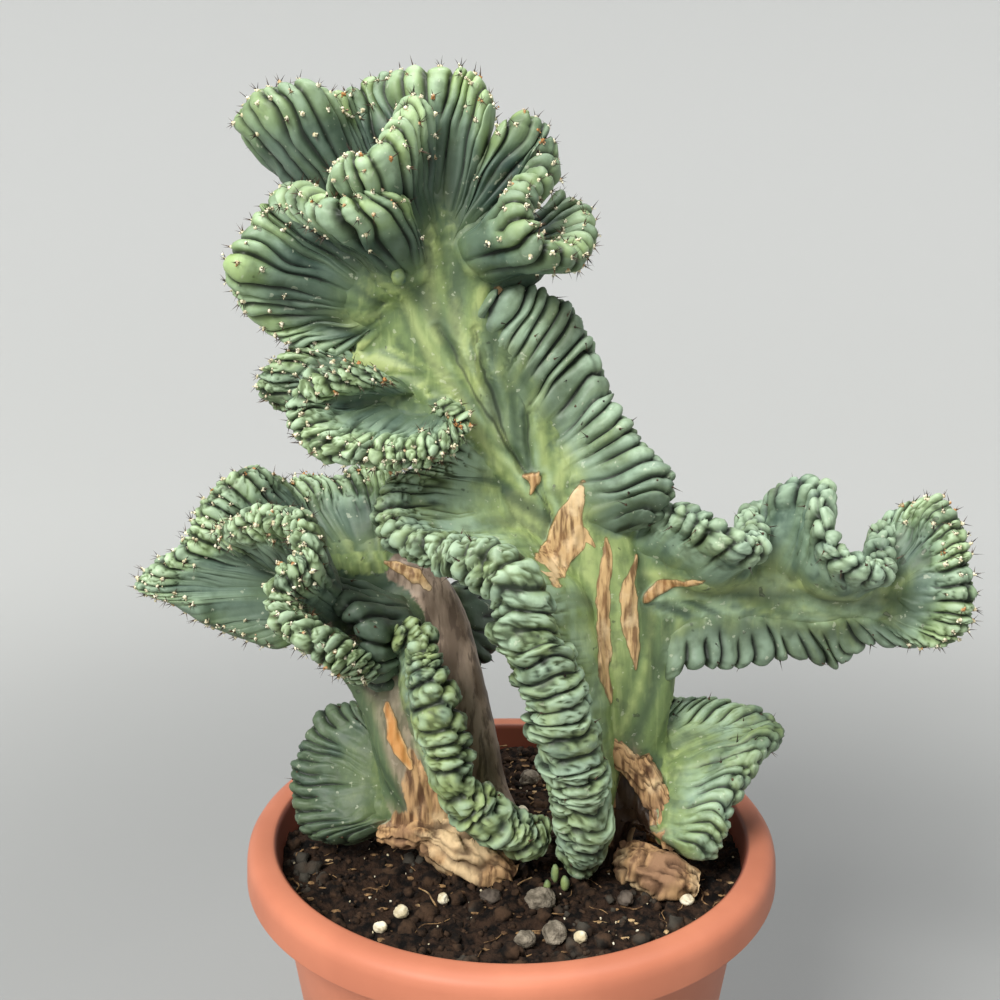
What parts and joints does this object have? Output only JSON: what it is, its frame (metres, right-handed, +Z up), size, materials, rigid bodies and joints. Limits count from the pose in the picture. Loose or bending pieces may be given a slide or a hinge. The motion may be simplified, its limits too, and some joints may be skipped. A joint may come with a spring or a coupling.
{
  "type": "potted myrtillocactus",
  "caption": "Crested myrtillocactus with ruffled, ribbed blue-green crests on a flattened woody stem, standing in a filled terracotta-coloured plastic pot.",
  "frame": {"origin": "centre of the pot's base, on the surface it stands on", "axes": "+Z up through the pot, -Y towards the plant's front, +X to the plant's right as seen from the front"},
  "size_m": [0.2705, 0.18, 0.4049],
  "materials": {
    "pot": "satin moulded plastic, terracotta coloured",
    "soil": "loose dark potting soil",
    "cactus": "waxy bloomed plant skin with corky scars",
    "pumice": "rough porous pumice",
    "perlite": "matte white perlite",
    "pebble": "dark rough stone"
  },
  "bodies": {
    "root": {"pot": "pot", "soil": "soil", "cactus": "cactus", "pumice_1": "pumice", "pumice_2": "pumice", "pumice_3": "pumice", "pumice_4": "pumice", "pumice_5": "pumice", "perlite_1": "perlite", "perlite_2": "perlite", "perlite_3": "perlite", "perlite_4": "perlite", "perlite_5": "perlite", "perlite_6": "perlite", "perlite_7": "perlite", "pebble_1": "pebble", "pebble_2": "pebble", "pebble_3": "pebble", "pebble_4": "pebble"}
  },
  "joints": []
}
